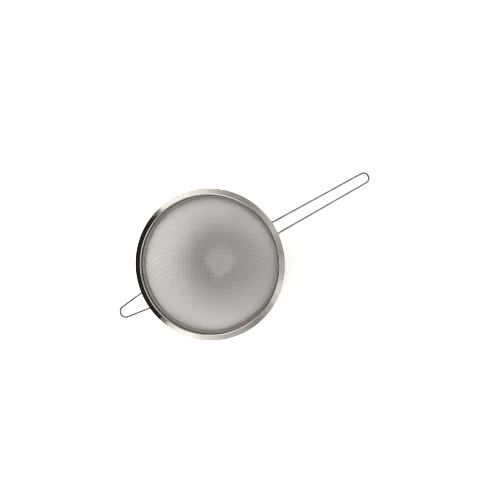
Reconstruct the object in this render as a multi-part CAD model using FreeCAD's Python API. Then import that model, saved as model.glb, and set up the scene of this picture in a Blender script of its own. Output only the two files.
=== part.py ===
import FreeCAD, Part
import math
import os

# A round wire-mesh strainer: a pressed mesh bowl held in a two-piece sheet-metal rim, with a bent-wire
# handle on one side and a short bent-wire rest loop on the other.
# Millimetres, +Z up. The origin is the centre of the bowl's flat bottom, where the strainer stands.
# The bowl's axis is Z, and the handle runs along +X.

# Driving dimensions: the whole
rim_radius = 100.0  # axis to the outermost edge of the rim
total_height = 78.0  # standing surface to the crest of the rim's lip
handle_length = 132.0  # rim's outermost edge to the far side of the handle's end
loop_length = 40.5  # rim's outermost edge to the far side of the rest loop's end

# Driving dimensions: the rim band
sheet = 0.6  # thickness of the rim's steel sheet
flange_width = 8.6  # lip's inner face to the rim's outermost edge, seen from above
flange_slope = math.radians(15.0)  # the flange falls outwards by this angle
lip_radius = 1.5  # outer radius of the rounded lip
skirt_depth = 14.0  # lip's crest to the skirt's lower edge
hem_width = 4.0  # length of the edge folded back under the flange

# Driving dimensions: the clamp band inside the skirt
clamp_sheet = 0.5
clamp_drop = 3.0  # lip's crest to the clamp band's upper edge
clamp_overhang = 0.6  # how far the clamp band reaches below the skirt
clamp_edge_rounding = 0.15

# Driving dimensions: the mesh bowl
mesh_thickness = 0.8  # two layers of crossing wire
mesh_edge_drop = 3.6  # lip's crest to the mesh's upper edge, behind the clamp band
bottom_flat_radius = 16.0

# Driving dimensions: the spot welds that join skirt, mesh and clamp band
band_weld_count = 16
band_weld_radius = 1.2
band_weld_drop = 8.5  # lip's crest to the row of welds

# Driving dimensions: the bent wires
wire_diameter = 2.3
wire_end_rounding = 0.3
hem_clearance = 0.15  # wire to the lowest point of the hem, where the wire passes under it
foot_inset = 1.75  # rim's outermost edge to the middle of the foot
foot_bend_radius = 5.0  # middle of the wire, where the leg turns along the rim
foot_length = 9.0  # along the rim, after the bend
step_radius = 6.0  # middle of the wire, at both bends of the step up to the grip

handle_half_width = 7.9  # axis of symmetry to the middle of the leg, at the rim's edge
handle_end_radius = 6.4  # middle of the wire
handle_step_start = 4.0  # end of the foot bend to the start of the step
handle_step_length = 8.0
handle_step_height = 2.4

loop_half_width = 11.5
loop_end_radius = 7.6
loop_step_start = 1.6
loop_step_length = 4.5
loop_step_height = 1.2

# Driving dimensions: the welds between the wires' feet and the hem
pad_half_width = 1.1
pad_sink = 0.45  # how far the weld metal comes down round the wire
pad_margin = 0.8  # the weld stops this far short of each end of the foot

# Worked out from the dimensions above
wire_radius = wire_diameter / 2
skirt_inner = rim_radius - flange_width
skirt_outer = skirt_inner + sheet
skirt_bottom = total_height - skirt_depth
clamp_outer = skirt_inner - mesh_thickness
clamp_inner = clamp_outer - clamp_sheet
clamp_top = total_height - clamp_drop
clamp_bottom = skirt_bottom - clamp_overhang
mesh_top = total_height - mesh_edge_drop
lip_centre = (skirt_inner + lip_radius, total_height - lip_radius)
lip_under_radius = lip_radius - sheet
outwards = (math.cos(flange_slope), -math.sin(flange_slope))
upwards = (math.sin(flange_slope), math.cos(flange_slope))

FLAT = FreeCAD.Vector(0, 0, 1)
ORIGIN = FreeCAD.Vector(0, 0, 0)


def section_point(radius, height):
    """A point of a turned section, in the XZ plane."""
    return FreeCAD.Vector(radius, 0, height)


def line(start, end):
    return Part.LineSegment(start, end).toShape()


def arc(start, middle, end):
    return Part.Arc(start, middle, end).toShape()


def turned(edges):
    """The solid made by turning a closed section all the way round the bowl's axis."""
    face = Part.Face(Part.Wire(edges))
    return face.revolve(ORIGIN, FLAT, 360)


# The fold at the rim's edge turns about a point on the flange's underside.
fold_radius = rim_radius - sheet
fold_run = (fold_radius - lip_centre[0] - lip_under_radius * upwards[0]) / outwards[0]
fold_height = lip_centre[1] + lip_under_radius * upwards[1] + fold_run * outwards[1]


def hem_point(along, above):
    """A point of the rim's section, from the fold's centre: along the flange, and above its underside."""
    radius = fold_radius + along * outwards[0] + above * upwards[0]
    height = fold_height + along * outwards[1] + above * upwards[1]
    return section_point(radius, height)


def hem_underside(radius):
    """Height of the hem's lower face at a radius."""
    edge = hem_point(0, -sheet)
    return edge.z + (edge.x - radius) * math.tan(flange_slope)


def lip_point(radius, angle):
    """A point at a radius and angle about the centre of the lip's rounding."""
    return section_point(lip_centre[0] + radius * math.cos(angle), lip_centre[1] + radius * math.sin(angle))


def make_rim_band():
    """One strip of sheet: a vertical skirt, a rounded lip, a sloping flange and a flat folded hem."""
    flange_angle = math.pi / 2 - flange_slope
    halfway = (math.pi + flange_angle) / 2
    skirt_foot_inner = section_point(skirt_inner, skirt_bottom)
    skirt_foot_outer = section_point(skirt_outer, skirt_bottom)
    lip_inner, lip_top = lip_point(lip_radius, math.pi), lip_point(lip_radius, flange_angle)
    under_skirt, under_flange = lip_point(lip_under_radius, math.pi), lip_point(lip_under_radius, flange_angle)
    return turned(
        [
            line(skirt_foot_inner, lip_inner),
            arc(lip_inner, lip_point(lip_radius, halfway), lip_top),
            line(lip_top, hem_point(0, sheet)),
            arc(hem_point(0, sheet), hem_point(sheet, 0), hem_point(0, -sheet)),
            line(hem_point(0, -sheet), hem_point(-hem_width, -sheet)),
            line(hem_point(-hem_width, -sheet), hem_point(-hem_width, 0)),
            line(hem_point(-hem_width, 0), under_flange),
            arc(under_flange, lip_point(lip_under_radius, halfway), under_skirt),
            line(under_skirt, skirt_foot_outer),
            line(skirt_foot_outer, skirt_foot_inner),
        ]
    )


def make_clamp_band():
    """The hoop inside the skirt that pinches the mesh's edge."""
    height = clamp_top - clamp_bottom
    hoop = Part.makeCylinder(clamp_outer, height, section_point(0, clamp_bottom))
    hoop = hoop.cut(Part.makeCylinder(clamp_inner, height, section_point(0, clamp_bottom)))
    inner_rims = [
        edge
        for edge in hoop.Edges
        if isinstance(edge.Curve, Part.Circle) and math.isclose(edge.Curve.Radius, clamp_inner)
    ]
    return hoop.makeFillet(clamp_edge_rounding, inner_rims)


def quarter_oval(centre, side, bottom):
    """A quarter ellipse from a point beside its centre to a point below it."""
    longer, shorter = sorted((side, bottom), key=lambda point: -centre.distanceToPoint(point))
    return Part.ArcOfEllipse(Part.Ellipse(longer, shorter, centre), 0, math.pi / 2).toShape()


def bowl_wall(inset):
    """Edges of one face of the bowl's wall, from its upper edge down to the axis."""
    radius = skirt_inner - inset
    centre = section_point(bottom_flat_radius, clamp_bottom)
    top, side = section_point(radius, mesh_top), section_point(radius, clamp_bottom)
    flat_edge, middle = section_point(bottom_flat_radius, inset), section_point(0, inset)
    return [line(top, side), quarter_oval(centre, side, flat_edge), line(flat_edge, middle)]


def make_mesh_bowl(welds):
    """The pressed bowl as a plain closed wall as thick as the cloth, pierced by the band's welds."""
    closing = [
        line(section_point(skirt_inner, mesh_top), section_point(clamp_outer, mesh_top)),
        line(section_point(0, 0), section_point(0, mesh_thickness)),
    ]
    wall = turned(Part.__sortEdges__(bowl_wall(0) + bowl_wall(mesh_thickness) + closing))
    return wall.cut(welds)


def make_band_welds():
    """Nuggets of fused metal that run from the skirt, through the mesh, to the clamp band."""
    height = total_height - band_weld_drop
    around = section_point(0, height - 2 * band_weld_radius)
    gap = Part.makeCylinder(skirt_inner, 4 * band_weld_radius, around)
    gap = gap.cut(Part.makeCylinder(clamp_outer, 4 * band_weld_radius, around))
    nuggets = []
    for index in range(band_weld_count):
        turn = math.radians(360 * (index + 0.5) / band_weld_count)
        radial = FreeCAD.Vector(math.cos(turn), math.sin(turn), 0)
        start = radial * (clamp_inner - band_weld_radius) + section_point(0, height)
        rod = Part.makeCylinder(band_weld_radius, flange_width, start, radial)
        nuggets.append(rod.common(gap).Solids[0])
    return Part.makeCompound(nuggets)


# The wires pass under the hem at its lowest point, and their feet lie along the rim.
foot_radius = rim_radius - foot_inset
foot_height = fold_height - sheet - hem_clearance - wire_radius


def mirrored(point):
    return FreeCAD.Vector(point.x, -point.y, point.z)


def raised(point, height):
    return FreeCAD.Vector(point.x, point.y, point.z + height)


def bend(before, corner, after, radius):
    """Start, middle and end of the arc that rounds a corner between two straight runs."""
    arriving, leaving = (corner - before).normalize(), (after - corner).normalize()
    half_turn = arriving.getAngle(leaving) / 2
    towards_centre = (leaving - arriving).normalize()
    centre = corner + towards_centre * (radius / math.cos(half_turn))
    reach = radius * math.tan(half_turn)
    return corner - arriving * reach, centre - towards_centre * radius, corner + leaving * reach


def half_route(half_width, length, end_radius, step_start, step_length, step_height):
    """The runs and arcs of one leg of a bent wire along +X, from the tip of its foot to the end's arc."""
    end_centre = FreeCAD.Vector(rim_radius + length - wire_radius - end_radius, 0, foot_height)
    at_rim = FreeCAD.Vector(rim_radius, half_width, foot_height)
    to_rim = at_rim - end_centre
    swing = math.atan2(to_rim.y, to_rim.x) - math.acos(end_radius / to_rim.Length)
    sideways = FreeCAD.Vector(math.cos(swing), math.sin(swing), 0)
    leg_end = end_centre + sideways * end_radius
    inwards = (at_rim - leg_end).normalize()

    # The foot's bend touches the leg and, on its other side, the circle that the foot follows.
    across = FreeCAD.Vector(at_rim.x, at_rim.y, 0) + sideways * foot_bend_radius
    centre_radius = foot_radius + foot_bend_radius
    along = across.dot(inwards)
    slide = -along - math.sqrt(along**2 - across.dot(across) + centre_radius**2)
    bend_centre = across + inwards * slide
    radial = FreeCAD.Vector(bend_centre).normalize()
    bend_start = raised(bend_centre - sideways * foot_bend_radius, foot_height)
    bend_end = raised(radial * foot_radius, foot_height)
    bend_middle = raised(bend_centre - (sideways + radial).normalize() * foot_bend_radius, foot_height)

    turn = math.atan2(radial.y, radial.x)
    foot = [
        FreeCAD.Vector(foot_radius * math.cos(angle), foot_radius * math.sin(angle), foot_height)
        for angle in (turn + foot_length / foot_radius, turn + foot_length / foot_radius / 2)
    ]

    low = bend_start - inwards * step_start
    high = raised(low - inwards * step_length, step_height)
    leg_end = raised(leg_end, step_height)
    lower_bend = bend(bend_start, low, high, step_radius)
    upper_bend = bend(low, high, leg_end, step_radius)
    return [
        ("arc", foot[0], foot[1], bend_end),
        ("arc", bend_end, bend_middle, bend_start),
        ("line", bend_start, lower_bend[0]),
        ("arc", *lower_bend),
        ("line", lower_bend[2], upper_bend[0]),
        ("arc", *upper_bend),
        ("line", upper_bend[2], leg_end),
    ]


def make_bent_wire(sizes):
    """A round wire bent into a long U, with both feet turned outwards along the rim."""
    half = half_route(**sizes)
    leg_end = half[-1][-1]
    crown = FreeCAD.Vector(rim_radius + sizes["length"] - wire_radius, 0, leg_end.z)
    other = [(kind, *(mirrored(point) for point in reversed(points))) for kind, *points in reversed(half)]
    draw = {"line": line, "arc": arc}
    edges = [draw[kind](*points) for kind, *points in half + [("arc", leg_end, crown, mirrored(leg_end))] + other]
    route = Part.Wire(edges)
    tip = edges[0].valueAt(edges[0].FirstParameter)
    facing = edges[0].tangentAt(edges[0].FirstParameter)
    ring = Part.Wire(Part.makeCircle(wire_radius, tip, facing))
    wire = route.makePipeShell([ring], True, False)
    true_volume = math.pi * wire_radius**2 * route.Length
    print("wire length", round(route.Length, 1), "volume share", round(wire.Volume / true_volume, 4))
    tips = (tip, mirrored(tip))
    end_edges = [
        edge
        for edge in wire.Edges
        if isinstance(edge.Curve, Part.Circle) and min(edge.Curve.Center.distanceToPoint(t) for t in tips) < sheet
    ]
    return wire.makeFillet(wire_end_rounding, end_edges)


def make_foot_welds(wire, sizes):
    """Weld metal between each foot and the hem: it wets the hem and sinks round the top of the wire."""
    inner, outer = foot_radius - pad_half_width, foot_radius + pad_half_width
    bottom = foot_height + wire_radius - pad_sink
    corners = [
        section_point(inner, hem_underside(inner)),
        section_point(outer, hem_underside(outer)),
        section_point(outer, bottom),
        section_point(inner, bottom),
    ]
    face = Part.Face(Part.makePolygon(corners + corners[:1]))
    foot = half_route(**sizes)[0]
    start = math.degrees(math.atan2(foot[-1].y, foot[-1].x) + pad_margin / foot_radius)
    sweep = math.degrees((foot_length - 2 * pad_margin) / foot_radius)
    pads = []
    for first in (start, -start - sweep):
        pad = face.revolve(ORIGIN, FLAT, sweep)
        pad.rotate(ORIGIN, FLAT, first)
        pads.append(pad.cut(wire).Solids[0])
    return Part.makeCompound(pads)


def opposite(shape):
    """The same shape turned half round the bowl's axis."""
    turned_shape = shape.copy()
    turned_shape.rotate(ORIGIN, FLAT, 180)
    return turned_shape


handle_sizes = {
    "half_width": handle_half_width,
    "length": handle_length,
    "end_radius": handle_end_radius,
    "step_start": handle_step_start,
    "step_length": handle_step_length,
    "step_height": handle_step_height,
}
loop_sizes = {
    "half_width": loop_half_width,
    "length": loop_length,
    "end_radius": loop_end_radius,
    "step_start": loop_step_start,
    "step_length": loop_step_length,
    "step_height": loop_step_height,
}

band_welds = make_band_welds()
handle = make_bent_wire(handle_sizes)
loop = make_bent_wire(loop_sizes)

nodes = {
    "rim_band": make_rim_band(),
    "clamp_band": make_clamp_band(),
    "mesh_bowl": make_mesh_bowl(band_welds),
    "band_spot_welds": band_welds,
    "handle": handle,
    "handle_foot_welds": make_foot_welds(handle, handle_sizes),
    "rest_loop": opposite(loop),
    "rest_loop_foot_welds": opposite(make_foot_welds(loop, loop_sizes)),
}

os.makedirs("parts", exist_ok=True)
for name, shape in nodes.items():
    if not shape.isValid():
        raise ValueError(name + " is not a valid shape")
    shape.exportStep("parts/" + name + ".step")
    print(name, "solids", len(shape.Solids), "volume", round(shape.Volume, 1), "box", shape.BoundBox)
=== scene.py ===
import math

import bpy
import numpy as np
from mathutils import Matrix, Vector


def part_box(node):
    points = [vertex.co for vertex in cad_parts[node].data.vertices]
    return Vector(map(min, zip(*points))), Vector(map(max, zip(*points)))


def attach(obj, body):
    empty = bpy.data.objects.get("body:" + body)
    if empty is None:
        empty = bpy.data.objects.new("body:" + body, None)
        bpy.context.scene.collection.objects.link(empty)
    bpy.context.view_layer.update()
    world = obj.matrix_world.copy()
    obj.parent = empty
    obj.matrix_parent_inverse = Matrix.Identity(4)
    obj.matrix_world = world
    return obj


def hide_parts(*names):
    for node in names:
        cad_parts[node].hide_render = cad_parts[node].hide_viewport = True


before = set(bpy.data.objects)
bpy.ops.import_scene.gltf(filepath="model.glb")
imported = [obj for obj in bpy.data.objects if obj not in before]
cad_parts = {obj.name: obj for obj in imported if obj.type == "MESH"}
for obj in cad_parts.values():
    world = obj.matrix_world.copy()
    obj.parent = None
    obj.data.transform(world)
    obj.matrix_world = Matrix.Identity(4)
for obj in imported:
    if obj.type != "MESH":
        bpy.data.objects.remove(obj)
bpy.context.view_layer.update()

MM = 0.001
UP = np.array([0.0, 0.0, 1.0])


def mm_box(node):
    """Lowest and highest corner of a CAD node, in millimetres."""
    low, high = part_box(node)
    return np.array(low) / MM, np.array(high) / MM


# Sizes read from the frame, in millimetres
rim_low, rim_high = mm_box("rim_band")
clamp_low, clamp_high = mm_box("clamp_band")
_, cloth_high = mm_box("mesh_bowl")
handle_low, handle_high = mm_box("handle")
loop_low, _ = mm_box("rest_loop")
rim_radius = rim_high[0]
crest = rim_high[2]
skirt_bottom = rim_low[2]
skirt_inner = cloth_high[0]
clamp_outer = clamp_high[0]
clamp_top, clamp_bottom = clamp_high[2], clamp_low[2]
cloth_top = cloth_high[2]
cloth_thickness = skirt_inner - clamp_outer

# Sheet metal and its spot welds: what no box gives, in millimetres and radians
SHEET = 0.6
FLANGE_SLOPE = math.radians(15)
LIP_RADIUS = 1.5
HEM_WIDTH = 4.0
HEM_SLIT = 0.1
FOLD_ROUNDING = 0.95
CLAMP_SHEET = 0.5
CLAMP_INNER_ROUNDING = 0.15
CLAMP_OUTER_ROUNDING = 0.06
RAW_EDGE = 0.12
SLIT_CORNER = 0.03
SLIT_INSIDE_FOLD = 1.6
WELD_COUNT = 16
WELD_RADIUS = 1.2
WELD_HEIGHT = crest - 8.5
WELD_DIMPLE = 0.09
WELD_MARK_EDGE = 0.5
WELD_ROWS = 15
WELD_ROW_MARGIN = 0.6
WELD_COLUMNS = 19
WELD_COLUMN_REACH = math.radians(1.15)
STEPS_BETWEEN_WELDS = 14
WELD_TINT_REACH = 5.0
SKIRT_MARGIN = 0.2
SECTION_ARC_STEP = math.radians(11)
SAME_PLACE = 1e-6
ON_FACE = 0.01

# Woven cloth, in millimetres
BOTTOM_FLAT_RADIUS = 16.0
PROFILE_POINTS = 3000
PROFILE_SPARE = 60.0  # how far the profile runs on above the cloth's edge
WIRE_PITCH = 1.22
WIRE_THICKNESS = cloth_thickness / 2
WIRE_WIDTH = 0.46
CLOTH_WIRE_SIDES = 4
WEAVE_TURN = math.radians(-29.15)
# Painted shade on the upper wall of the cloth: where it starts, how far it fades in, and its share
WALL_SHADE_START = 34.0
WALL_SHADE_RUN = 26.0
WALL_SHADE = 0.35
BOTTOM_SHADE_HEIGHT = 30.0

# Bent wires, in millimetres
WIRE = 2.3
WIRE_RADIUS = WIRE / 2
WIRE_END_ROUNDING = 0.3
WIRE_END_STEPS = 5
WIRE_END_RINGS = (0.05, 0.55)  # rings on the flat end, as shares of its radius
WIRE_SIDES = 28
WIRE_SPACING = 0.45
BEND_SPACING = 0.35
HEAT_AND_SHADE_REACH = 40.0
FOOT_INSET = 1.75
FOOT_BEND_RADIUS = 5.0
FOOT_LENGTH = 9.0
STEP_RADIUS = 6.0
FOOT_HEIGHT = handle_low[2] + WIRE_RADIUS
FOOT_RADIUS = rim_radius - FOOT_INSET
HANDLE = {
    "half_width": 7.9, "end_radius": 6.4, "step_start": 4.0, "step_length": 8.0, "step_height": 2.4,
    "reach": handle_high[0],
}
LOOP = {
    "half_width": 11.5, "end_radius": 7.6, "step_start": 1.6, "step_length": 4.5, "step_height": 1.2,
    "reach": -loop_low[0],
}


# -------------------------------------------------------------------------------------------- meshes


def new_piece(name, points, faces, stands_for, material, normals=None, uvs=None):
    """A smooth mesh from millimetre points and quads, riding on the root body."""
    faces = np.asarray(faces, np.int32)
    mesh = bpy.data.meshes.new(name)
    mesh.vertices.add(len(points))
    mesh.vertices.foreach_set("co", (np.asarray(points) * MM).astype(np.float32).ravel())
    mesh.loops.add(faces.size)
    mesh.loops.foreach_set("vertex_index", faces.ravel())
    mesh.polygons.add(len(faces))
    mesh.polygons.foreach_set("loop_start", np.arange(0, faces.size, 4, dtype=np.int32))
    mesh.update(calc_edges=True)
    mesh.polygons.foreach_set("use_smooth", np.ones(len(faces), bool))
    if uvs is not None:
        layer = mesh.uv_layers.new(name="UVMap")
        layer.data.foreach_set("uv", np.asarray(uvs, np.float32)[faces.ravel()].ravel())
    if mesh.validate():
        raise ValueError(name + " has bad faces")
    if normals is not None:
        mesh.normals_split_custom_set_from_vertices(np.asarray(normals, np.float32))
    piece = bpy.data.objects.new(name, mesh)
    bpy.context.scene.collection.objects.link(piece)
    mesh.materials.append(material)
    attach(piece, "root")
    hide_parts(*stands_for)


def grid_faces(rows, columns, close_rows, close_columns):
    """Quads of a grid of points numbered row by row; a closed direction wraps round."""
    row = np.arange(rows if close_rows else rows - 1)
    column = np.arange(columns if close_columns else columns - 1)
    i, j = np.meshgrid(row, column, indexing="ij")
    i2, j2 = (i + 1) % rows, (j + 1) % columns
    quads = np.stack([i * columns + j, i2 * columns + j, i2 * columns + j2, i * columns + j2], -1)
    return quads.reshape(-1, 4)


def rounded_section(corners, rows_between=()):
    """Points and outward normals of a closed section, (radius, height), whose corners are rounded.

    corners: (radius, height, rounding), anticlockwise with the radius to the right and height up.
    rows_between: heights at which a vertical side gets extra points.
    """
    count = len(corners)
    places = np.array([corner[:2] for corner in corners], float)
    points, normals = [], []
    for k in range(count):
        before, here, after = places[k - 1], places[k], places[(k + 1) % count]
        arriving = (here - before) / np.linalg.norm(here - before)
        leaving = (after - here) / np.linalg.norm(after - here)
        turn = math.atan2(arriving[0] * leaving[1] - arriving[1] * leaving[0], arriving @ leaving)
        rounding = corners[k][2]
        reach = rounding * abs(math.tan(turn / 2))
        first_normal = math.atan2(-arriving[0], arriving[1])
        side = math.copysign(1, turn)
        centre = here - arriving * reach - side * rounding * np.array([arriving[1], -arriving[0]])
        steps = max(3, math.ceil(abs(turn) / SECTION_ARC_STEP))
        arc_points, arc_normals = [], []
        for step in range(steps + 1):
            angle = first_normal + turn * step / steps
            normal = np.array([math.cos(angle), math.sin(angle)])
            arc_points.append(centre + side * rounding * normal)
            arc_normals.append(normal)
        if points:
            start, end, normal = points[-1], arc_points[0], normals[-1]
            if abs(start[0] - end[0]) < SAME_PLACE:
                for height in sorted(rows_between, reverse=bool(start[1] > end[1])):
                    if min(start[1], end[1]) < height < max(start[1], end[1]):
                        points.append(np.array([start[0], height]))
                        normals.append(normal)
        joined = 1 if points and np.linalg.norm(points[-1] - arc_points[0]) < SAME_PLACE else 0
        points += arc_points[joined:]
        normals += arc_normals[joined:]
    return np.array(points), np.array(normals)


def lathe(section, normals, angles):
    """A ring's points and normals, millimetres: the section at each angle round Z."""
    cos, sin = np.cos(angles)[:, None], np.sin(angles)[:, None]
    radius, height = section[:, 0][None], section[:, 1][None]
    points = np.stack([radius * cos, radius * sin, height + 0 * cos], -1)
    across, along = normals[:, 0][None], normals[:, 1][None]
    directions = np.stack([across * cos, across * sin, along + 0 * cos], -1)
    return points, directions


def weld_angles():
    """Angles round the rim, closer together at each spot weld."""
    fine = np.linspace(-1, 1, WELD_COLUMNS) * WELD_COLUMN_REACH
    welds = 2 * math.pi * (np.arange(WELD_COUNT) + 0.5) / WELD_COUNT
    gap = 2 * math.pi / WELD_COUNT - 2 * fine[-1]
    between = fine[-1] + gap * np.arange(1, STEPS_BETWEEN_WELDS) / STEPS_BETWEEN_WELDS
    angles = np.concatenate([weld + np.concatenate([fine, between]) for weld in welds])
    return np.sort(angles % (2 * math.pi))


def press_welds(points, normals, face_radius, sign):
    """Presses the electrodes' round marks into the vertical face at a radius; sign 1 faces outwards."""
    angle = np.arctan2(points[..., 1], points[..., 0])
    radius = np.hypot(points[..., 0], points[..., 1])
    share = 2 * math.pi / WELD_COUNT
    offset = (angle / share - 0.5) - np.round(angle / share - 0.5)
    across = offset * share * face_radius
    up = points[..., 2] - WELD_HEIGHT
    distance = np.hypot(across, up)
    on_face = np.abs(radius - face_radius) < ON_FACE
    edge = np.clip((WELD_RADIUS + WELD_MARK_EDGE / 2 - distance) / WELD_MARK_EDGE, 0, 1)
    depth = WELD_DIMPLE * edge * edge * (3 - 2 * edge) * on_face
    in_edge = (edge > 0) & (edge < 1)
    slope = np.where(in_edge, WELD_DIMPLE * 6 * edge * (1 - edge) / WELD_MARK_EDGE, 0) * on_face
    radial = np.stack([np.cos(angle), np.sin(angle), 0 * angle], -1)
    tangent = np.stack([-np.sin(angle), np.cos(angle), 0 * angle], -1)
    safe = np.maximum(distance, SAME_PLACE)
    towards = tangent * (across / safe)[..., None] + UP * (up / safe)[..., None]
    moved = points - radial * (sign * depth)[..., None]
    bent = normals - towards * slope[..., None]
    return moved, bent / np.linalg.norm(bent, axis=-1, keepdims=True)


# ------------------------------------------------------------------------------------- rim and clamp

flange_out = np.array([math.cos(FLANGE_SLOPE), -math.sin(FLANGE_SLOPE)])
flange_up = np.array([math.sin(FLANGE_SLOPE), math.cos(FLANGE_SLOPE)])
lip_centre = np.array([skirt_inner + LIP_RADIUS, crest - LIP_RADIUS])
flange_start = lip_centre + LIP_RADIUS * flange_up
fold_run = (rim_radius - SHEET - flange_start[0] + SHEET * flange_up[0]) / flange_out[0]
fold_centre = flange_start + fold_run * flange_out - SHEET * flange_up


def from_fold(along, above):
    """A point of the rim's section, along the flange and above its underside, from the fold's centre."""
    return fold_centre + along * flange_out + above * flange_up


def meeting(radius):
    """Where the flange's upper face would meet a vertical face at a radius."""
    height = flange_start[1] + (radius - flange_start[0]) * flange_out[1] / flange_out[0]
    return radius, height


def under_meeting(radius):
    """Where the flange's lower face would meet a vertical face at a radius."""
    start = flange_start - SHEET * flange_up
    return radius, start[1] + (radius - start[0]) * flange_out[1] / flange_out[0]


skirt_outer = skirt_inner + SHEET
slit_in = SHEET + SLIT_INSIDE_FOLD
rim_corners = [
    (skirt_outer, skirt_bottom, RAW_EDGE),
    (*under_meeting(skirt_outer), LIP_RADIUS - SHEET),
    (*from_fold(-slit_in, 0), SLIT_CORNER),
    (*from_fold(-slit_in, -HEM_SLIT), SLIT_CORNER),
    (*from_fold(-HEM_WIDTH, -HEM_SLIT), RAW_EDGE),
    (*from_fold(-HEM_WIDTH, -SHEET), RAW_EDGE),
    (*from_fold(SHEET, -SHEET), 2 * SHEET - FOLD_ROUNDING),
    (*from_fold(SHEET, SHEET), FOLD_ROUNDING),
    (*meeting(skirt_inner), LIP_RADIUS),
    (skirt_inner, skirt_bottom, RAW_EDGE),
]
weld_rows = WELD_HEIGHT + np.linspace(-1, 1, WELD_ROWS) * (WELD_RADIUS + WELD_ROW_MARGIN)
ring_angles = weld_angles()


def make_rim(material):
    """The rim band: its closed section turned round Z, with weld marks outside its skirt."""
    section, normals = rounded_section(rim_corners, weld_rows)
    points, directions = lathe(section, normals, ring_angles)
    points, directions = press_welds(points, directions, skirt_outer, 1)
    faces = grid_faces(len(ring_angles), len(section), True, True)
    new_piece(
        "rim_turned_band", points.reshape(-1, 3), faces, ["rim_band"], material,
        normals=directions.reshape(-1, 3),
    )


def make_clamp(material):
    """The hoop inside the skirt, with weld marks on its inner face."""
    clamp_inner = clamp_outer - CLAMP_SHEET
    corners = [
        (clamp_inner, clamp_bottom, CLAMP_INNER_ROUNDING),
        (clamp_outer, clamp_bottom, CLAMP_OUTER_ROUNDING),
        (clamp_outer, clamp_top, CLAMP_OUTER_ROUNDING),
        (clamp_inner, clamp_top, CLAMP_INNER_ROUNDING),
    ]
    section, normals = rounded_section(corners, weld_rows)
    points, directions = lathe(section, normals, ring_angles)
    points, directions = press_welds(points, directions, clamp_inner, -1)
    faces = grid_faces(len(ring_angles), len(section), True, True)
    new_piece(
        "clamp_hoop", points.reshape(-1, 3), faces, ["clamp_band"], material,
        normals=directions.reshape(-1, 3),
    )


# ----------------------------------------------------------------------------------------- the cloth

half_thickness = cloth_thickness / 2
wall_radius = skirt_inner - half_thickness
oval_side = wall_radius - BOTTOM_FLAT_RADIUS
oval_depth = clamp_bottom - half_thickness
sweep = np.linspace(0, math.pi / 2, PROFILE_POINTS)
oval_r = BOTTOM_FLAT_RADIUS + oval_side * np.sin(sweep)
oval_z = clamp_bottom - oval_depth * np.cos(sweep)
profile_r = np.concatenate([[0], oval_r, [wall_radius]])
profile_z = np.concatenate([[half_thickness], oval_z, [cloth_top + PROFILE_SPARE]])
profile_s = np.concatenate([[0], np.cumsum(np.hypot(np.diff(profile_r), np.diff(profile_z)))])
cloth_end = profile_s[-1] - PROFILE_SPARE


def on_profile(s):
    """Radius and height of the bowl's middle surface at distances along its profile."""
    return np.interp(s, profile_s, profile_r), np.interp(s, profile_s, profile_z)


def profile_direction(s):
    """Which way the profile runs there, as a change of radius and of height."""
    step = 0.02
    r1, z1 = on_profile(s - step)
    r2, z2 = on_profile(s + step)
    length = np.hypot(r2 - r1, z2 - z1)
    return (r2 - r1) / length, (z2 - z1) / length


def snap(places, s):
    """Moves points to the nearest place on the bowl; s is their first guess along its profile."""
    radius = np.hypot(places[:, 0], places[:, 1])
    for _ in range(3):
        r, z = on_profile(s)
        dr, dz = profile_direction(s)
        s = np.maximum(s + (radius - r) * dr + (places[:, 2] - z) * dz, 0)
    r, z = on_profile(s)
    scale = r / np.maximum(radius, 1e-9)
    return np.stack([places[:, 0] * scale, places[:, 1] * scale, z], -1), s


def drape_quadrant():
    """Crossings of a flat woven cloth pressed into the bowl: each stays one pitch from its neighbours."""
    size = int(cloth_end / WIRE_PITCH) + 3
    places = np.full((size, size, 3), np.nan)
    along = np.full((size, size), np.nan)
    s = np.arange(size) * WIRE_PITCH
    r, z = on_profile(s)
    places[:, 0] = np.stack([r, 0 * r, z], -1)
    places[0, :] = np.stack([0 * r, r, z], -1)
    along[:, 0] = along[0, :] = s
    for diagonal in range(2, 2 * size - 1):
        i = np.arange(max(1, diagonal - size + 1), min(diagonal, size))
        j = diagonal - i
        left, below = places[i - 1, j], places[i, j - 1]
        ready = ~(np.isnan(left[:, 0]) | np.isnan(below[:, 0]))
        i, j, left, below = i[ready], j[ready], left[ready], below[ready]
        if len(i) == 0:
            continue
        guess = np.maximum(along[i - 1, j], along[i, j - 1])
        point, s = snap(left + below - places[i - 1, j - 1], guess)
        for _ in range(12):
            to_left, to_below = point - left, point - below
            length_a = np.linalg.norm(to_left, axis=1, keepdims=True)
            length_b = np.linalg.norm(to_below, axis=1, keepdims=True)
            unit_a, unit_b = to_left / length_a, to_below / length_b
            cosine = (unit_a * unit_b).sum(1, keepdims=True)
            missing_a, missing_b = WIRE_PITCH - length_a, WIRE_PITCH - length_b
            spread = np.maximum(1 - cosine * cosine, 1e-4)
            move = unit_a * (missing_a - cosine * missing_b) + unit_b * (missing_b - cosine * missing_a)
            point, s = snap(point + move / spread, s)
        far = s > cloth_end + 2 * WIRE_PITCH
        point[far] = np.nan
        places[i, j] = point
        along[i, j] = s
    return places, along


def full_net():
    """The quadrant mirrored to the whole bowl: crossing positions and distances along the profile."""
    places, along = drape_quadrant()
    size = len(places)
    index = np.arange(-size + 1, size)
    i, j = np.meshgrid(index, index, indexing="ij")
    net = places[np.abs(i), np.abs(j)].copy()
    net[..., 0] *= np.where(i < 0, -1, 1)
    net[..., 1] *= np.where(j < 0, -1, 1)
    return net, along[np.abs(i), np.abs(j)], (i + j) % 2


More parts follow.
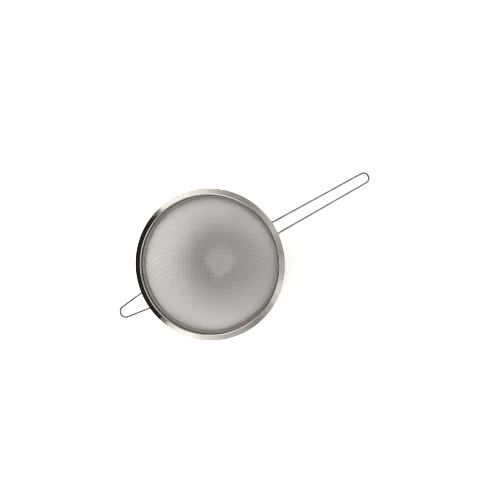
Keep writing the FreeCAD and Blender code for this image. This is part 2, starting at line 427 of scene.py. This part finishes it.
def bowl_normals(places):
    """Unit normals of the bowl's middle surface, pointing to its hollow side."""
    radius = np.hypot(places[:, 0], places[:, 1])
    rest = np.maximum(radius, 1e-9)
    in_oval = (radius > BOTTOM_FLAT_RADIUS) & (places[:, 2] < clamp_bottom)
    across = np.where(in_oval, (radius - BOTTOM_FLAT_RADIUS) / oval_side**2, 0)
    down = np.where(in_oval, (places[:, 2] - clamp_bottom) / oval_depth**2, -1)
    on_wall = places[:, 2] >= clamp_bottom
    across, down = np.where(on_wall, 1, across), np.where(on_wall, 0, down)
    normal = -np.stack([across * places[:, 0] / rest, across * places[:, 1] / rest, down], -1)
    return normal / np.linalg.norm(normal, axis=1, keepdims=True)


def end_caps(first, last, corners):
    """Quads that close a tube's two end rings, whose first vertices are given."""
    k = np.arange(corners // 2 - 1)
    strip = np.stack([k, k + 1, corners - 2 - k, corners - 1 - k], -1)
    return np.concatenate([strip + first, strip[:, ::-1] + last])


def tube(route, normals, thickness, width, corners, first_vertex):
    """Points and quads of an oval tube round a route, as thick as given along the normals."""
    tangent = np.gradient(route, axis=0)
    tangent /= np.linalg.norm(tangent, axis=1, keepdims=True)
    side = np.cross(tangent, normals)
    side /= np.linalg.norm(side, axis=1, keepdims=True)
    up = np.cross(side, tangent)
    angles = 2 * math.pi * np.arange(corners) / corners
    rings = (
        route[:, None]
        + thickness / 2 * np.cos(angles)[None, :, None] * up[:, None]
        - width / 2 * np.sin(angles)[None, :, None] * side[:, None]
    )
    faces = grid_faces(len(route), corners, False, True) + first_vertex
    last = first_vertex + (len(route) - 1) * corners
    faces = np.concatenate([faces, end_caps(first_vertex, last, corners)])
    return rings.reshape(-1, 3), faces


def make_cloth(material):
    """The woven wires, each a crimped tube from edge to edge, in pieces of one half of one direction."""
    net, along, parity = full_net()
    cos, sin = math.cos(WEAVE_TURN), math.sin(WEAVE_TURN)
    turn = np.array([[cos, -sin, 0], [sin, cos, 0], [0, 0, 1]])
    lift = WIRE_THICKNESS / 2
    middle = len(net) // 2
    for direction, word in ((0, "warp"), (1, "weft")):
        grid = net if direction == 0 else net.transpose(1, 0, 2)
        reach = along if direction == 0 else along.T
        over = parity if direction == 0 else 1 - parity.T
        for part, lines in (("a", range(0, middle)), ("b", range(middle, len(net)))):
            points, faces, count = [], [], 0
            for line_index in lines:
                inside = np.flatnonzero(reach[line_index] <= cloth_end)
                if len(inside) < 3:
                    continue
                low, high = inside[0], inside[-1]
                route = grid[line_index, low:high + 1]
                normals = bowl_normals(route)
                lifts = np.where(over[line_index, low:high + 1] == 1, lift, -lift)
                route = route + normals * lifts[:, None]
                ring_points, ring_faces = tube(
                    route, normals, WIRE_THICKNESS, WIRE_WIDTH, CLOTH_WIRE_SIDES, count
                )
                points.append(ring_points @ turn.T)
                faces.append(ring_faces)
                count += len(ring_points)
            new_piece(
                f"cloth_{word}_{part}", np.concatenate(points), np.concatenate(faces),
                ["mesh_bowl"], material,
            )


# ---------------------------------------------------------------------------------------- bent wires


def rounded_path(corners, roundings):
    """Points along straight runs whose corners are arcs."""
    out = [corners[0]]
    for k in range(1, len(corners) - 1):
        before, here, after = corners[k - 1], corners[k], corners[k + 1]
        arriving = (here - before) / np.linalg.norm(here - before)
        leaving = (after - here) / np.linalg.norm(after - here)
        half_turn = math.acos(max(-1, min(1, arriving @ leaving))) / 2
        inward = leaving - arriving
        inward /= np.linalg.norm(inward)
        centre = here + inward * roundings[k] / math.cos(half_turn)
        steps = max(4, math.ceil(2 * half_turn * roundings[k] / BEND_SPACING))
        for step in range(steps + 1):
            angle = half_turn * (2 * step / steps - 1)
            forward = (arriving + leaving) / np.linalg.norm(arriving + leaving)
            out.append(centre + roundings[k] * (forward * math.sin(angle) - inward * math.cos(angle)))
    out.append(corners[-1])
    return out


def level_arc(centre, radius, start, end, height):
    """Points of an arc in a level plane, ends included."""
    steps = max(4, math.ceil(abs(end - start) * radius / BEND_SPACING))
    angles = np.linspace(start, end, steps + 1)
    return [
        np.array([centre[0] + radius * math.cos(a), centre[1] + radius * math.sin(a), height])
        for a in angles
    ]


def wire_route(half_width, end_radius, step_start, step_length, step_height, reach):
    """The middle line of a bent wire along +X, from the tip of one foot to the tip of the other."""
    end_centre = np.array([reach - WIRE_RADIUS - end_radius, 0.0])
    at_rim = np.array([rim_radius, half_width])
    to_rim = at_rim - end_centre
    swing = math.atan2(to_rim[1], to_rim[0]) - math.acos(end_radius / np.linalg.norm(to_rim))
    sideways = np.array([math.cos(swing), math.sin(swing)])
    leg_end = end_centre + sideways * end_radius
    inwards = (at_rim - leg_end) / np.linalg.norm(at_rim - leg_end)
    across = at_rim + sideways * FOOT_BEND_RADIUS
    centre_radius = FOOT_RADIUS + FOOT_BEND_RADIUS
    along = across @ inwards
    slide = -along - math.sqrt(along**2 - across @ across + centre_radius**2)
    bend_centre = across + inwards * slide
    turn = math.atan2(bend_centre[1], bend_centre[0])
    foot = level_arc((0, 0), FOOT_RADIUS, turn + FOOT_LENGTH / FOOT_RADIUS, turn, FOOT_HEIGHT)
    bend_first = turn + math.pi
    bend_last = swing + math.pi
    bend = level_arc(bend_centre, FOOT_BEND_RADIUS, bend_first, bend_last, FOOT_HEIGHT)
    leg = [bend[-1]]
    for distance, height in ((step_start, 0), (step_start + step_length, step_height)):
        place = bend[-1][:2] - inwards * distance
        leg.append(np.array([place[0], place[1], FOOT_HEIGHT + height]))
    leg.append(np.array([leg_end[0], leg_end[1], FOOT_HEIGHT + step_height]))
    leg = rounded_path(leg, [0, STEP_RADIUS, STEP_RADIUS, 0])
    crown = level_arc(end_centre, end_radius, swing, 0, FOOT_HEIGHT + step_height)
    one_side = foot + bend[1:] + leg[1:] + crown[1:]
    flip = np.array([1, -1, 1])
    return np.array(one_side + [point * flip for point in reversed(one_side[:-1])])


def spread_out(route, spacing):
    """The same route with points at even distances."""
    lengths = np.concatenate([[0], np.cumsum(np.linalg.norm(np.diff(route, axis=0), axis=1))])
    count = int(lengths[-1] / spacing)
    wanted = np.linspace(0, lengths[-1], count + 1)
    return np.stack([np.interp(wanted, lengths, route[:, k]) for k in range(3)], -1), wanted


def wire_length(sizes):
    """Length of a bent wire's middle line, in millimetres."""
    route = wire_route(**sizes)
    return float(np.linalg.norm(np.diff(route, axis=0), axis=1).sum())


def end_rings():
    """A wire end's rings, from its middle outwards: how far in, how wide, and how far the face leans."""
    rings = [(0.0, (WIRE_RADIUS - WIRE_END_ROUNDING) * share, 1.0) for share in WIRE_END_RINGS]
    for step in range(WIRE_END_STEPS + 1):
        angle = math.pi / 2 * step / WIRE_END_STEPS
        inset = WIRE_END_ROUNDING * (1 - math.cos(angle))
        radius = WIRE_RADIUS - WIRE_END_ROUNDING * (1 - math.sin(angle))
        rings.append((inset, radius, math.cos(angle)))
    return np.array(rings).T


def make_wire(name, sizes, stands_for, material, half_turn=False):
    """A round wire along its route, with rounded ends; U runs along it and V round it.

    half_turn: turns it to the other side of the bowl.
    """
    route, lengths = spread_out(wire_route(**sizes), WIRE_SPACING)
    tangent = np.gradient(route, axis=0)
    tangent /= np.linalg.norm(tangent, axis=1, keepdims=True)
    side = np.cross(tangent, UP)
    side /= np.linalg.norm(side, axis=1, keepdims=True)
    up = np.cross(side, tangent)
    angles = 2 * math.pi * np.arange(WIRE_SIDES) / WIRE_SIDES
    total = lengths[-1]
    end_at, end_radius, end_lean = end_rings()
    end_zone = WIRE_END_ROUNDING * 1.5
    inner = lengths[(lengths > end_zone) & (lengths < total - end_zone)]
    at = np.concatenate([end_at, inner, total - end_at[::-1]])
    radii = np.concatenate([end_radius, np.full(len(inner), WIRE_RADIUS), end_radius[::-1]])
    leans = np.concatenate([end_lean, np.zeros(len(inner)), -end_lean[::-1]])
    middle, *axes = (
        np.stack([np.interp(at, lengths, line[:, k]) for k in range(3)], -1)
        for line in (route, tangent, side, up)
    )
    forward, across, above = (axis / np.linalg.norm(axis, axis=1, keepdims=True) for axis in axes)
    cos, sin = np.cos(angles)[None, :, None], np.sin(angles)[None, :, None]
    around = cos * above[:, None] - sin * across[:, None]
    points = middle[:, None] + radii[:, None, None] * around
    flat = np.sqrt(1 - leans**2)
    normals = around * flat[:, None, None] - forward[:, None] * leans[:, None, None]
    uvs = np.stack(np.broadcast_arrays(at[:, None], (angles / (2 * math.pi))[None]), -1)
    points, normals = points.reshape(-1, 3), normals.reshape(-1, 3)
    if half_turn:
        flip = np.array([-1, -1, 1])
        points, normals = points * flip, normals * flip
    faces = grid_faces(len(at), WIRE_SIDES, False, True)
    faces = np.concatenate([faces, end_caps(0, (len(at) - 1) * WIRE_SIDES, WIRE_SIDES)])
    new_piece(name, points, faces, stands_for, material, normals=normals, uvs=uvs.reshape(-1, 2))


# ----------------------------------------------------------------------------------------- materials


class Nodes:
    """Short names for building one node tree."""

    def __init__(self, name):
        self.material = bpy.data.materials.new(name)
        self.material.use_nodes = True
        self.tree = self.material.node_tree
        self.tree.nodes.clear()
        self.shader = self.add("ShaderNodeBsdfPrincipled")
        output = self.add("ShaderNodeOutputMaterial")
        self.link(self.shader.outputs[0], output.inputs["Surface"])

    @classmethod
    def of_tree(cls, tree):
        """The same short names for a tree that exists already, emptied."""
        nodes = cls.__new__(cls)
        nodes.tree = tree
        tree.nodes.clear()
        return nodes

    def add(self, kind, **values):
        """A new node with the given properties."""
        node = self.tree.nodes.new(kind)
        for key, value in values.items():
            setattr(node, key, value)
        return node

    def link(self, source, target):
        self.tree.links.new(source, target)

    def put(self, value, socket):
        """Sets a socket to a number, a colour or another node's output."""
        if isinstance(value, bpy.types.NodeSocket):
            self.link(value, socket)
        elif isinstance(value, tuple):
            socket.default_value = (*value, 1)
        else:
            socket.default_value = value

    def math(self, operation, *values, clamp=False):
        """The output of one sum on numbers or other nodes' outputs."""
        node = self.add("ShaderNodeMath", operation=operation, use_clamp=clamp)
        for value, socket in zip(values, node.inputs):
            self.put(value, socket)
        return node.outputs[0]

    def hypot(self, first, second):
        """The long side of a right-angled triangle."""
        first, second = self.math("MULTIPLY", first, first), self.math("MULTIPLY", second, second)
        return self.math("SQRT", self.math("ADD", first, second))

    def centred(self, noise, size):
        """Noise moved to swing round zero, and scaled."""
        return self.math("MULTIPLY", self.math("SUBTRACT", noise, 0.5), size)

    def fade(self, high, low, run):
        """From 0 to 1 as the first value rises above the second, over a run."""
        return self.math("MULTIPLY", self.math("SUBTRACT", high, low), 1 / run, clamp=True)

    def place(self):
        """The object's own coordinates in millimetres, whole and as separate x, y and z."""
        coordinates = self.add("ShaderNodeTexCoord")
        scaled = self.add("ShaderNodeVectorMath", operation="SCALE")
        self.link(coordinates.outputs["Object"], scaled.inputs[0])
        scaled.inputs["Scale"].default_value = 1 / MM
        split = self.add("ShaderNodeSeparateXYZ")
        self.link(scaled.outputs[0], split.inputs[0])
        return scaled.outputs[0], split.outputs

    def vector(self, x, y, z):
        """Three values joined into one vector."""
        node = self.add("ShaderNodeCombineXYZ")
        for value, socket in zip((x, y, z), node.inputs):
            self.put(value, socket)
        return node.outputs[0]

    def noise(self, vector, scale, detail=3.0, roughness=0.55, distortion=0.0):
        """Soft random patches, each about 1 / scale across, in the vector's unit."""
        node = self.add("ShaderNodeTexNoise")
        self.link(vector, node.inputs["Vector"])
        node.inputs["Scale"].default_value = scale
        node.inputs["Detail"].default_value = detail
        node.inputs["Roughness"].default_value = roughness
        node.inputs["Distortion"].default_value = distortion
        return node.outputs["Fac"]

    def ramp(self, value, *stops):
        """stops: (position, number or colour)."""
        node = self.add("ShaderNodeValToRGB")
        self.link(value, node.inputs[0])
        elements = node.color_ramp.elements
        while len(elements) < len(stops):
            elements.new(0.5)
        for element, (position, colour) in zip(elements, stops):
            element.position = position
            if isinstance(colour, (int, float)):
                colour = (colour, colour, colour)
            element.color = (*colour, 1)
        return node.outputs[0]

    def mix(self, share, first, second, blend="MIX"):
        """From the first colour to the second as the share goes from 0 to 1."""
        node = self.add("ShaderNodeMix", data_type="RGBA", blend_type=blend)
        self.put(share, node.inputs[0])
        self.put(first, node.inputs[6])
        self.put(second, node.inputs[7])
        return node.outputs[2]

    def bump(self, height, distance, strength=1.0, under=None):
        """Small relief, distance in millimetres, on top of another bump if given."""
        node = self.add("ShaderNodeBump")
        node.inputs["Strength"].default_value = strength
        node.inputs["Distance"].default_value = distance * MM
        self.link(height, node.inputs["Height"])
        if under is not None:
            self.link(under, node.inputs["Normal"])
        return node.outputs[0]

    def finish(self, colour, roughness, normal, metallic=1.0):
        """Joins the parts to the shader; gives the material."""
        inputs = self.shader.inputs
        self.put(colour, inputs["Base Color"])
        self.put(roughness, inputs["Roughness"])
        inputs["Metallic"].default_value = metallic
        if normal is not None:
            self.link(normal, inputs["Normal"])
        return self.material


def shade(colour, *shares):
    """A colour with each channel multiplied by its share."""
    return tuple(channel * share for channel, share in zip(colour, shares))


def turned_steel(name, warm, base_roughness, streak, smudge, skirt_shade_and_dulling):
    """Sheet steel polished while it turned: fine rings, wipe marks, straw tint at the spot welds, and
    painted shade on the skirt below the lip.

    skirt_shade_and_dulling: from 0 to 1, how much painted shade darkens the skirt below the lip, and how
    much rougher it is there.
    """
    n = Nodes(name)
    place, (x, y, z) = n.place()
    radius = n.hypot(x, y)
    angle = n.math("ARCTAN2", y, x)
    # Noise that changes fast across the rings and slowly along them
    rings = n.vector(
        n.math("MULTIPLY", n.math("COSINE", angle), 1.4),
        n.math("MULTIPLY", n.math("SINE", angle), 1.4),
        n.math("ADD", n.math("MULTIPLY", radius, 9.0), n.math("MULTIPLY", z, 7.0)),
    )
    fine = n.noise(rings, 1.0, detail=4, roughness=0.6)
    broad = n.noise(place, 0.035, detail=3, roughness=0.5, distortion=0.4)
    wipes = n.noise(place, 0.16, detail=5, roughness=0.65, distortion=1.2)
    specks = n.noise(place, 1.9, detail=2)

    share = 2 * math.pi / WELD_COUNT
    cell = n.math("SUBTRACT", n.math("DIVIDE", angle, share), 0.5)
    offset = n.math("SUBTRACT", cell, n.math("ROUND", cell))
    sideways = n.math("MULTIPLY", n.math("MULTIPLY", offset, share), radius)
    up = n.math("SUBTRACT", z, WELD_HEIGHT)
    from_weld = n.hypot(sideways, up)
    on_skirt = n.math("LESS_THAN", radius, skirt_outer + SKIRT_MARGIN)
    wobble = n.math("ADD", n.math("MULTIPLY", from_weld, 1 / WELD_TINT_REACH), n.centred(specks, 0.12))
    tint = n.ramp(wobble, (0.16, 0.0), (0.26, 0.5), (0.36, 0.18), (0.6, 0.0))
    tint = n.math("MULTIPLY", tint, on_skirt)

    steel = n.ramp(broad, (0.3, shade(warm, 0.94, 0.94, 0.935)), (0.7, warm))
    steel = n.mix(n.ramp(wipes, (0.45, 0.0), (0.8, smudge)), steel, shade(warm, 0.8, 0.79, 0.77))
    # Painted shade: the skirt below the lip is darkened to dim its reflection of the bright floor; the
    # same share makes it rougher
    below_lip = n.fade(crest - LIP_RADIUS, z, LIP_RADIUS)
    shade_and_dulling = n.math("MULTIPLY", n.math("MULTIPLY", below_lip, on_skirt), skirt_shade_and_dulling)
    steel = n.mix(shade_and_dulling, steel, shade(warm, 0.42, 0.42, 0.415))
    steel = n.mix(tint, steel, (0.40, 0.33, 0.235))
    roughness = n.math(
        "ADD",
        n.centred(fine, streak),
        n.math("ADD", base_roughness, n.math("MULTIPLY", n.ramp(wipes, (0.4, 0.0), (0.85, 1.0)), 0.09)),
        clamp=True,
    )
    roughness = n.math("ADD", roughness, n.math("MULTIPLY", tint, 0.12))
    roughness = n.math("ADD", roughness, n.math("MULTIPLY", shade_and_dulling, 0.16))
    normal = n.bump(fine, 0.0018)
    normal = n.bump(broad, 0.5, under=normal)
    return n.finish(steel, roughness, normal)


def drawn_wire(name, warm, base_roughness, length):
    """Drawn steel wire: lengthwise lines in U and V, nicks, duller patches, and welding tint with painted
    shade at its feet.
    """
    n = Nodes(name)
    place, _ = n.place()
    coordinates = n.add("ShaderNodeTexCoord")
    split = n.add("ShaderNodeSeparateXYZ")
    n.link(coordinates.outputs["UV"], split.inputs[0])
    along, around = split.outputs[0], split.outputs[1]
    turn = n.math("MULTIPLY", around, 2 * math.pi)
    lines = n.vector(
        n.math("MULTIPLY", along, 0.06),
        n.math("MULTIPLY", n.math("COSINE", turn), 6.0),
        n.math("MULTIPLY", n.math("SINE", turn), 6.0),
    )
    drawing = n.noise(lines, 1.0, detail=5, roughness=0.65)
    patches = n.noise(place, 0.11, detail=4, distortion=0.6)
    nicks = n.noise(place, 1.3, detail=2, roughness=0.4)
    # Welding tint and painted shade towards both feet, where the wire runs under the rim: near-black by
    # the tips, straw further in
    from_tip = n.math("MINIMUM", along, n.math("SUBTRACT", length, along))
    from_tip = n.math("ADD", from_tip, n.centred(patches, 9.0))
    heat_and_shade = n.math("MULTIPLY", from_tip, 1 / HEAT_AND_SHADE_REACH)
    steel = n.ramp(patches, (0.3, shade(warm, 0.84, 0.835, 0.82)), (0.7, warm))
    steel = n.mix(n.ramp(nicks, (0.68, 0.0), (0.78, 0.5)), steel, shade(warm, 0.6, 0.58, 0.55))
    tint = n.ramp(
        heat_and_shade,
        (0.0, (0.16, 0.13, 0.10)),
        (0.25, (0.20, 0.17, 0.14)),
        (0.36, (0.40, 0.33, 0.22)),
        (0.5, warm),
    )
    steel = n.mix(n.ramp(heat_and_shade, (0.25, 0.9), (0.5, 0.0)), steel, tint)
    roughness = n.math(
        "ADD",
        n.centred(drawing, 0.22),
        n.math("ADD", base_roughness, n.centred(patches, 0.16)),
        clamp=True,
    )
    roughness = n.math("ADD", roughness, n.ramp(heat_and_shade, (0.2, 0.2), (0.45, 0.0)))
    normal = n.bump(drawing, 0.012)
    normal = n.bump(nicks, 0.02, strength=0.6, under=normal)
    n.shader.inputs["Specular Tint"].default_value = (0.35, 0.34, 0.33, 1)
    return n.finish(steel, roughness, normal)


def cloth_wire(name, warm, base_roughness):
    """Thin woven steel wire: brighter and duller stretches, painted shade darkening it towards the
    bottom, and painted shade making the upper wall darker and browner.
    """
    n = Nodes(name)
    place, (_, _, z) = n.place()
    patches = n.noise(place, 0.045, detail=4, roughness=0.6, distortion=0.8)
    grain = n.noise(place, 2.6, detail=2)
    # Painted shade: the wires get darker towards the bottom of the bowl, where it sits on the floor
    low = n.math("MULTIPLY", z, 1 / BOTTOM_SHADE_HEIGHT, clamp=True)
    # Painted shade: the upper wall gets darker and browner
    high = n.fade(z, WALL_SHADE_START, WALL_SHADE_RUN)
    steel = n.ramp(patches, (0.3, shade(warm, 0.9, 0.895, 0.885)), (0.7, warm))
    steel = n.mix(n.ramp(grain, (0.4, 0.35), (0.65, 0.0)), steel, shade(warm, 0.72, 0.70, 0.67))
    steel = n.mix(n.ramp(low, (0.0, 0.12), (1.0, 0.0)), steel, shade(warm, 0.6, 0.58, 0.54))
    steel = n.mix(n.math("MULTIPLY", high, WALL_SHADE), steel, shade(warm, 0.72, 0.69, 0.62))
    roughness = n.math("ADD", base_roughness, n.centred(grain, 0.3), clamp=True)
    return n.finish(steel, roughness, n.bump(grain, 0.01))


def weld_metal(name):
    """Fused metal: rippled, rough, straw to brown from welding."""
    n = Nodes(name)
    place, _ = n.place()
    lumps = n.noise(place, 1.1, detail=4, roughness=0.6)
    pores = n.noise(place, 4.5, detail=3)
    colour = n.ramp(
        lumps, (0.3, (0.22, 0.19, 0.16)), (0.5, (0.40, 0.35, 0.28)), (0.72, (0.52, 0.50, 0.46))
    )
    roughness = n.ramp(pores, (0.3, 0.38), (0.7, 0.62))
    normal = n.bump(lumps, 0.12)
    normal = n.bump(pores, 0.03, under=normal)
    return n.finish(colour, roughness, normal)


rim_steel = turned_steel(
    "rim_polished_steel", (0.80, 0.775, 0.735),
    base_roughness=0.09, streak=0.08, smudge=0.35, skirt_shade_and_dulling=1.0,
)
clamp_steel = turned_steel(
    "clamp_polished_steel", (0.72, 0.69, 0.65),
    base_roughness=0.22, streak=0.16, smudge=0.28, skirt_shade_and_dulling=0.0,
)
mesh_steel = cloth_wire("cloth_wire_steel", (0.585, 0.56, 0.525), base_roughness=0.32)
handle_steel = drawn_wire(
    "handle_drawn_steel", (0.42, 0.415, 0.40), base_roughness=0.26, length=wire_length(HANDLE)
)
loop_steel = drawn_wire(
    "loop_drawn_steel", (0.38, 0.374, 0.358), base_roughness=0.28, length=wire_length(LOOP)
)
weld_steel = weld_metal("weld_fused_steel")

make_rim(rim_steel)
make_clamp(clamp_steel)
make_cloth(mesh_steel)
make_wire("handle_bent_wire", HANDLE, ["handle"], handle_steel)
make_wire("rest_loop_bent_wire", LOOP, ["rest_loop"], loop_steel, half_turn=True)
for node in ("band_spot_welds", "handle_foot_welds", "rest_loop_foot_welds"):
    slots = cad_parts[node].data.materials
    slots.clear()
    slots.append(weld_steel)

# --------------------------------------------------------------------------- floor, light and camera

FLOOR_REACH = 4.0  # metres
FLOOR_GAP = 0.02  # millimetres

# Degrees from the picture's right-hand side to the handle
PANEL_TURN = 29.15
# Bearing in degrees, anticlockwise as the picture shows it, and brightness
PANELS = [
    (6, 0.35), (31, 0.59), (56, 0.44), (79, 0.31), (99, 0.46), (113, 0.9), (128, 1.2),
    (147, 1.1), (153, 0.02), (222, 0.02), (228, 1.1), (241, 1.3), (252, 0.85), (263, 0.60),
    (276, 0.47), (290, 0.29), (305, 0.47), (322, 0.92), (342, 0.53),
]
# Bearing, brightness, and the height (as a sine) at which the ceiling starts
CEILING = [
    (60, 0.5, 0.91), (150, 0.8, 0.91), (158, 1.1, 0.93),
    (218, 1.1, 0.93), (226, 0.8, 0.91), (300, 0.6, 0.91),
]
# Sines of height: where the panels start to fade downwards, over how much, and the ceiling's edge
PANEL_FADE_TOP = 0.5
PANEL_FADE = 0.35
CEILING_EDGE = 0.05
# Share of a panel's brightness that is left at the horizon
HORIZON_SHARE = 0.3
# Name, bearing, height, softness (degrees) and strength
LAMPS = [
    ("key", 198, 45, 60, 2.6),
    ("fill_left", 97, 45, 60, 1.5),
    ("fill_right", 337, 45, 60, 0.6),
    ("top", 217, 85, 50, 0.75),
]
LAMP_COLOUR = (1.0, 0.99, 0.97)

# The camera, fitted to the photo; lens, sensor and place in millimetres
CAMERA_LENS = 27.84
CAMERA_SENSOR = 36
CAMERA_PLACE = (120.060, -15.982, 571.017)
CAMERA_RIGHT = (0.8666543, -0.4852059, -0.1161272)
CAMERA_UP = (0.4829414, 0.8742913, -0.0488089)


def make_floor():
    """A plain pale floor, just below the surface that the strainer stands on."""
    mesh = bpy.data.meshes.new("floor")
    r = FLOOR_REACH
    corners = [(-r, -r, 0), (r, -r, 0), (r, r, 0), (-r, r, 0)]
    mesh.from_pydata(corners, [], [(0, 1, 2, 3)])
    floor = bpy.data.objects.new("floor", mesh)
    floor.location.z = -FLOOR_GAP * MM
    bpy.context.scene.collection.objects.link(floor)
    n = Nodes("pale_floor")
    place, _ = n.place()
    grain = n.noise(place, 0.02, detail=3)
    colour = n.ramp(grain, (0.3, 0.84), (0.7, 0.86))
    mesh.materials.append(n.finish(colour, 0.9, None, metallic=0.0))


def studio_tone(tone):
    """A slightly warm grey."""
    return shade((tone, tone, tone), 1, 0.985, 0.96)


def make_world():
    """A studio as a sky: a ring of soft panels by bearing, dimmer towards the horizon, and a ceiling.

    Reflections see it; the camera sees plain white.
    """
    world = bpy.data.worlds.new("studio")
    bpy.context.scene.world = world
    world.use_nodes = True
    n = Nodes.of_tree(world.node_tree)
    coordinates = n.add("ShaderNodeTexCoord")
    split = n.add("ShaderNodeSeparateXYZ")
    n.link(coordinates.outputs["Generated"], split.inputs[0])
    x, y, z = split.outputs
    bearing = n.math("ARCTAN2", y, x)
    share = n.math("FRACT", n.math("ADD", n.math("DIVIDE", bearing, 2 * math.pi), PANEL_TURN / 360))
    ring = n.ramp(share, *[(degrees / 360, studio_tone(tone)) for degrees, tone in PANELS])
    low = n.fade(PANEL_FADE_TOP, z, PANEL_FADE)
    starts = n.ramp(share, *[(degrees / 360, height) for degrees, _, height in CEILING])
    high = n.fade(z, starts, CEILING_EDGE)
    above = n.ramp(share, *[(degrees / 360, studio_tone(tone)) for degrees, tone, _ in CEILING])
    dimmed = n.mix(1.0, ring, (HORIZON_SHARE,) * 3, blend="MULTIPLY")
    sky = n.mix(low, ring, dimmed)
    sky = n.mix(high, sky, above)
    lit = n.add("ShaderNodeBackground")
    n.link(sky, lit.inputs["Color"])
    seen = n.add("ShaderNodeBackground")
    seen.inputs["Color"].default_value = (1, 1, 1, 1)
    choose = n.add("ShaderNodeMixShader")
    n.link(n.add("ShaderNodeLightPath").outputs["Is Camera Ray"], choose.inputs[0])
    n.link(lit.outputs[0], choose.inputs[1])
    n.link(seen.outputs[0], choose.inputs[2])
    n.link(choose.outputs[0], n.add("ShaderNodeOutputWorld").inputs["Surface"])


def make_lamp(name, bearing, height, softness, strength):
    """One broad lamp, by bearing as the picture shows it; only matt surfaces show it."""
    lamp = bpy.data.lights.new(name, "SUN")
    lamp.energy = strength
    lamp.angle = math.radians(softness)
    lamp.color = LAMP_COLOUR
    light = bpy.data.objects.new(name, lamp)
    bpy.context.scene.collection.objects.link(light)
    turn, rise = math.radians(bearing - PANEL_TURN), math.radians(height)
    towards = Vector((math.cos(turn) * math.cos(rise), math.sin(turn) * math.cos(rise), math.sin(rise)))
    light.rotation_euler = towards.to_track_quat("Z", "Y").to_euler()
    light.visible_glossy = False


def make_camera():
    """Above the strainer and a little on the handle's side; the handle runs to the upper right."""
    data = bpy.data.cameras.new("camera")
    data.lens = CAMERA_LENS
    data.sensor_width = CAMERA_SENSOR
    data.clip_start = 0.01
    camera = bpy.data.objects.new("camera", data)
    bpy.context.scene.collection.objects.link(camera)
    place = Vector(CAMERA_PLACE) * MM
    right, up = Vector(CAMERA_RIGHT), Vector(CAMERA_UP)
    back = right.cross(up)
    turn = Matrix((right, up, back)).transposed().to_4x4()
    camera.matrix_world = Matrix.Translation(place) @ turn
    bpy.context.scene.camera = camera


make_floor()
make_world()
for lamp in LAMPS:
    make_lamp(*lamp)
make_camera()
bpy.context.scene.view_settings.view_transform = "Standard"
bpy.context.scene.cycles.filter_width = 1.0
